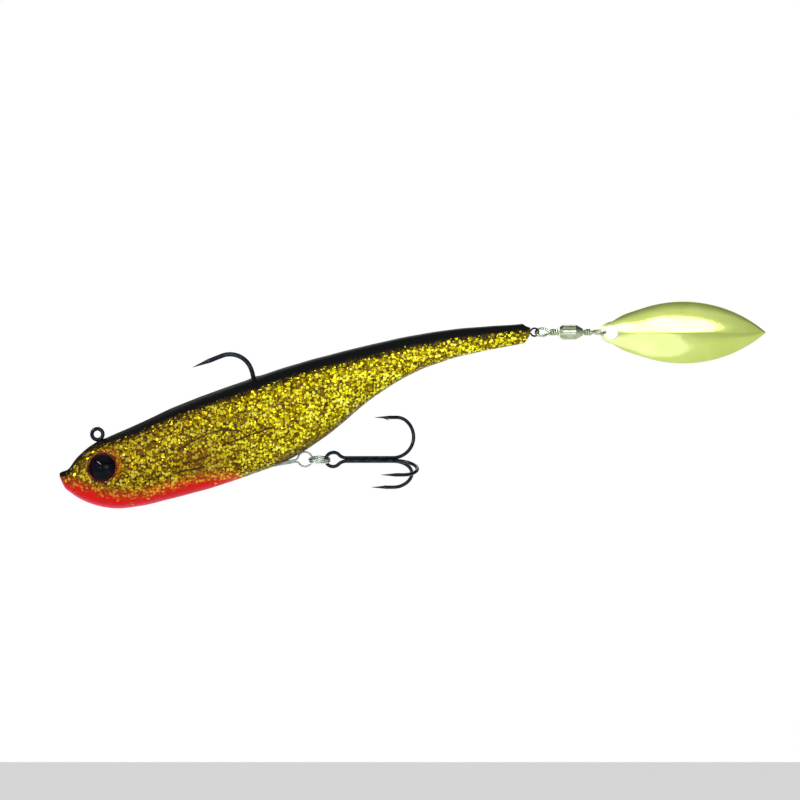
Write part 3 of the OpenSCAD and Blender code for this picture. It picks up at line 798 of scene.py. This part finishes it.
def split_ring():
    turns = np.radians(np.arange(RING_FROM, RING_FROM + RING_SWEEP, 4))
    middle, half_step = math.radians(RING_FROM + RING_SWEEP / 2), math.radians(RING_CROSSING / 2)
    t = np.clip((turns - middle + half_step) / (2 * half_step), 0, 1)
    height = RING_WIRE_R * (2 * t * t * (3 - 2 * t) - 1)
    flat = np.stack([RING_R * np.cos(turns), RING_R * np.sin(turns), height], axis=-1)
    c, s = math.cos(RING_TILT), math.sin(RING_TILT)
    path = RING_AT + flat @ np.array([[1, 0, 0], [0, c, s], [0, -s, c]])
    from_end = np.minimum(np.arange(len(path)), np.arange(len(path))[::-1])
    radius = RING_WIRE_R * np.interp(from_end, [0, RING_TAPER_STEPS], [RING_TAPER, 1.0])
    return tube("split_ring_coil", path, radius, ring_steel, sides=20, up=(0, s, c))


ring = split_ring()
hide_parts("split_ring")
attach(ring, "split_ring")

# ---- Swivel eyes: one wire, looped and wrapped back round its own neck ----

LINE_Z = 31.8
SWIVEL_R = 0.38
# A wrap's advance along the neck for each turn, and how far it is pressed into the neck
WRAP_PITCH, WRAP_PRESS = 0.72, 0.06
# How far outside the ring the neck ends, and the angle from the neck at which the ring starts
NECK_RUN, RING_OPEN = 0.75, math.radians(26)
HEAD_PROFILE = [0.9, 1.18, 1.27, 1.3, 1.3, 1.3, 1.3, 1.3, 1.3, 1.27, 1.18, 0.9]
BEAD_PROFILE = [0.5, 0.66, 0.74, 0.77, 0.78, 0.77, 0.74, 0.66, 0.5]


def on_line(xs):
    """Points at these x on the swivel's own line."""
    return [np.array([x, 0, LINE_Z]) for x in xs]


def turned(name, low_x, high_x, profile):
    """A turned piece on the swivel's line, with these radii along it."""
    path = on_line(np.linspace(low_x, high_x, len(profile)))
    return tube(name, path, profile, nickel, sides=32, up=(0, 0, 1), round_ends=False)


def swivel_eye(name, eye_x, eye_r, tilt, head_x, head_end, wrap_from, wrap_turns, towards):
    """towards is +1 where the neck runs to +X from the eye. head_x is where the stem meets its head."""
    across = np.array([0, math.cos(tilt), math.sin(tilt)])
    centre = np.array([eye_x, 0, LINE_Z])
    along = np.array([towards, 0, 0])
    stem = on_line(np.linspace(head_x, eye_x + towards * (eye_r + NECK_RUN), 24))
    # From the neck out to the ring, round it, and back to the neck
    loop = [
        centre + eye_r * (math.cos(a) * along + math.sin(a) * across)
        for a in np.linspace(RING_OPEN, 2 * math.pi - RING_OPEN, 80)
    ]
    wrap_r = 2 * SWIVEL_R - WRAP_PRESS
    turn_from = math.atan2(-across[2], -across[1])
    wraps = []
    steps = int(wrap_turns * 28)
    for k in range(steps + 1):
        a = turn_from + 2 * math.pi * wrap_turns * k / steps
        v = wrap_from + towards * (WRAP_PITCH * wrap_turns * k / steps)
        wraps.append(np.array([v, wrap_r * math.cos(a), LINE_Z + wrap_r * math.sin(a)]))
    rough = stem + loop[2:-2] + wraps
    path = [rough[0]]
    for p in smoothed(rough, 3):
        if np.linalg.norm(p - path[-1]) > 0.04:
            path.append(p)
    wire = tube(name, path, SWIVEL_R, nickel, sides=18, up=(0, 0.3, 1))
    return wire, turned(name + "_head", *sorted((head_x, head_end)), HEAD_PROFILE)


front_eye_parts = swivel_eye(
    "swivel_front_loop", eye_x=138.5, eye_r=1.9, tilt=math.radians(38),
    head_x=145.4, head_end=146.55, wrap_from=141.15, wrap_turns=3.2, towards=1,
)
rear_eye_parts = swivel_eye(
    "swivel_rear_loop", eye_x=156.3, eye_r=1.9, tilt=math.radians(90 - 75.5),
    head_x=149.3, head_end=148.05, wrap_from=153.75, wrap_turns=2.4, towards=-1,
)
for parts, body in ((front_eye_parts, "swivel_front_eye"), (rear_eye_parts, "swivel_rear_eye")):
    for part in parts:
        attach(part, body)
    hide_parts(body)
bead = turned("swivel_rear_bead", 151.42, 152.0, BEAD_PROFILE)
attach(bead, "swivel_rear_eye")

# ---- Willow blade: dished sheet with a crease from the hole to the tip ----

BLADE_X, BLADE_Z, BLADE_L, BLADE_W, BLADE_T = 156.75, 31.7, 51.6, 19.3, 0.65
HOLE_R, HOLE_WEB = 2.33, 0.92
HOLE_X, END_R = HOLE_WEB + HOLE_R, HOLE_R + HOLE_WEB
# Where the sheet's middle is, how far it bulges for its width, and its crease's slope and reach
BLADE_Y, CROWN, CREASE, CREASE_REACH, EDGE_BEVEL = 0.4, 0.165, 0.18, 4.2, 0.1


def leaf_half_width(x):
    """Half the width at x of the leaf between two arcs, from its front point."""
    half_l, half_w = BLADE_L / 2, BLADE_W / 2
    arc_r = (half_l**2 + half_w**2) / (2 * half_w)
    return np.sqrt(np.maximum(arc_r**2 - (x - half_l) ** 2, 0)) - (arc_r - half_w)


def blade_half_width(x):
    """Half the blade's width at x from its front end."""
    round_end = np.sqrt(np.maximum(END_R**2 - (x - HOLE_X) ** 2, 0))
    # The leaf's edge runs into the round end with no neck
    shoulder = 0.6 * np.exp(-(((x - 6) / 4) ** 2)) * np.clip(x / 3, 0, 1)
    return ((leaf_half_width(x) + shoulder) ** 8 + round_end**8) ** 0.125


def blade_height(x, z):
    """The sheet's Y at a place on the blade: it bulges to the front, -Y, and is creased along its middle."""
    half_l = BLADE_L / 2
    front = END_R * np.clip((half_l - x) / (half_l - 8), 0, 1)
    wide = (leaf_half_width(x) ** 4 + front**4 + 0.01) ** 0.25
    crown = CROWN * (wide - z**2 / wide)
    share = np.clip((x - HOLE_X - HOLE_R) / (BLADE_L - HOLE_X - HOLE_R), 0, 1)
    crease = CREASE * np.clip(share * 7, 0, 1) * (1 - share) ** 0.8
    ridge = crease * (np.sqrt(z**2 + 0.05) - 0.22) / (1 + (np.abs(z) / CREASE_REACH) ** 1.4)
    return ridge - crown + BLADE_Y


def on_sheet(flat, lift):
    """Places (x, z) points of the flat blade on the dished sheet, lift behind its middle."""
    x, z = flat[:, 0], flat[:, 1]
    return np.stack([BLADE_X + x, blade_height(x, z) + lift, BLADE_Z + z], axis=-1)


def willow_blade():
    """Even steps along the outline, each joined to the hole's rim by a ray. Both edges are bevelled."""
    x = BLADE_L / 2 * (1 - np.cos(np.linspace(0, math.pi, 260)))
    w = blade_half_width(x)
    outline = np.vstack([np.stack([x, w], axis=-1), np.stack([x, -w], axis=-1)[::-1][1:-1]])
    hole = np.array([HOLE_X, 0.0])
    angle = np.arctan2(outline[:, 1], outline[:, 0] - HOLE_X)
    rim = hole + HOLE_R * np.stack([np.cos(angle), np.sin(angle)], axis=-1)
    rays = unit_rows(outline - hole)
    rings = 64
    layers = [rim + (outline - rim) * (k / rings) ** 1.25 for k in range(rings + 1)]
    layers[0] = rim + rays * EDGE_BEVEL * 0.8
    layers[-1] = outline - rays * EDGE_BEVEL

    half_t = BLADE_T / 2
    flat_t = half_t - EDGE_BEVEL
    front = [on_sheet(p, -half_t) for p in layers]
    edge = [on_sheet(outline, -flat_t), on_sheet(outline, flat_t)]
    back = [on_sheet(p, half_t) for p in reversed(layers)]
    inside = [on_sheet(rim, flat_t), on_sheet(rim, -flat_t)]
    rows = front + edge + back + inside
    total, count = len(rows), len(outline)
    faces = []
    for j in range(total):
        for k in range(count):
            a, b = j * count, ((j + 1) % total) * count
            faces.append((a + k, b + k, b + (k + 1) % count, a + (k + 1) % count))
    return add_mesh("willow_blade_sheet", np.vstack(rows), faces, gold_plate())


blade = willow_blade()
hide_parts("willow_blade")
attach(blade, "blade")

# ---- Studio ----
# The floor's half-width and its height, in millimetres. The lamps' places and sizes are in metres
FLOOR_HALF, FLOOR_Z = 2600, -200


def pale_floor():
    s = Shader("pale_floor")
    tone = s.mix(s.noise(s.place(), 0.02, 2.0), srgb(244, 244, 244), srgb(250, 250, 250))
    material = s.finish(Base_Color=tone, Roughness=0.7, Emission_Color=(1, 1, 1, 1), Emission_Strength=0.3)
    corners = [(FLOOR_HALF * x, FLOOR_HALF * y, FLOOR_Z) for x, y in ((-1, -1), (1, -1), (1, 1), (-1, 1))]
    floor = add_mesh("floor", corners, [(0, 1, 2, 3)], material, smooth=False)


def studio_world():
    """White where the camera sees it. What the object reflects goes from a bright front to a dark rear."""
    world = bpy.data.worlds.new("studio")
    bpy.context.scene.world = world
    world.use_nodes = True
    tree = world.node_tree
    tree.nodes.clear()
    new = tree.nodes.new
    coordinate, parts = new("ShaderNodeTexCoord"), new("ShaderNodeSeparateXYZ")
    tree.links.new(coordinate.outputs["Generated"], parts.inputs[0])

    def level(axis, stops):
        """Brightness by direction along one axis: stops are (share from -1 to 1, level)."""
        half, ramp = new("ShaderNodeMath"), new("ShaderNodeValToRGB")
        half.operation = "MULTIPLY_ADD"
        half.inputs[1].default_value, half.inputs[2].default_value = 0.5, 0.5
        tree.links.new(parts.outputs[axis], half.inputs[0])
        tree.links.new(half.outputs[0], ramp.inputs[0])
        while len(ramp.color_ramp.elements) < len(stops):
            ramp.color_ramp.elements.new(0.5)
        for element, (position, value) in zip(ramp.color_ramp.elements, stops):
            element.position, element.color = (position + 1) / 2, (value, value, value, 1)
        return ramp.outputs[0]

    def product(a, b):
        made = new("ShaderNodeMix")
        made.data_type, made.blend_type = "RGBA", "MULTIPLY"
        made.inputs[0].default_value = 1.0
        tree.links.new(a, made.inputs[6])
        tree.links.new(b, made.inputs[7])
        return made.outputs[2]

    # From below: a dark ground, a bright middle, a dark band and a paler top; dimmer behind and to the right
    up_down = level("Z", [
        (-1, 0.2), (-0.88, 0.15), (-0.8, 0.45), (-0.45, 0.6), (-0.3, 0.85), (0.46, 0.9),
        (0.58, 0.3), (0.68, 0.3), (0.78, 0.75), (1, 0.85),
    ])
    front_back = level("Y", [(-1, 1.0), (-0.5, 0.95), (0, 0.55), (0.4, 0.24), (1, 0.18)])
    left_right = level("X", [(-1, 1.0), (0.05, 1.0), (0.3, 0.7), (1, 0.55)])
    sky = product(product(up_down, front_back), left_right)
    seen, lit = new("ShaderNodeBackground"), new("ShaderNodeBackground")
    tree.links.new(sky, lit.inputs[0])
    lit.inputs[1].default_value = 1.2
    seen.inputs[0].default_value = (1, 1, 1, 1)
    rays, mix, output = new("ShaderNodeLightPath"), new("ShaderNodeMixShader"), new("ShaderNodeOutputWorld")
    tree.links.new(rays.outputs["Is Camera Ray"], mix.inputs[0])
    tree.links.new(lit.outputs[0], mix.inputs[1])
    tree.links.new(seen.outputs[0], mix.inputs[2])
    tree.links.new(mix.outputs[0], output.inputs[0])


def softbox(name, place, size, power, roll=0.0, target=(0.09, 0, 0.01), tone=(1, 1, 1)):
    """An oval lamp that the camera doesn't see, with its place, size and target in metres."""
    lamp = bpy.data.lights.new(name, "AREA")
    lamp.shape, lamp.size, lamp.size_y, lamp.energy = "ELLIPSE", size[0], size[1], power
    lamp.color = tone
    box = bpy.data.objects.new(name, lamp)
    bpy.context.scene.collection.objects.link(box)
    box.location, box.visible_camera = place, False
    facing = (Vector(target) - Vector(place)).to_track_quat("-Z", "Y").to_matrix()
    box.rotation_euler = (facing @ Matrix.Rotation(math.radians(roll), 3, "Z")).to_euler()


pale_floor()
studio_world()
softbox("key_light", (-0.62, -0.5, 0.6), (0.04, 0.6), 6.0, roll=72)
softbox("front_light", (0.085, -1.0, 0.27), (0.48, 0.32), 1.5, target=(0.18, 0, 0.03))
softbox("low_light", (0.1, -0.32, -0.088), (0.2, 0.17), 0.055, target=(0.18, 0, 0.03), tone=(0.84, 0.77, 1.8))
softbox("back_light", (0.1, 0.8, 0.7), (0.8, 0.4), 2.0)
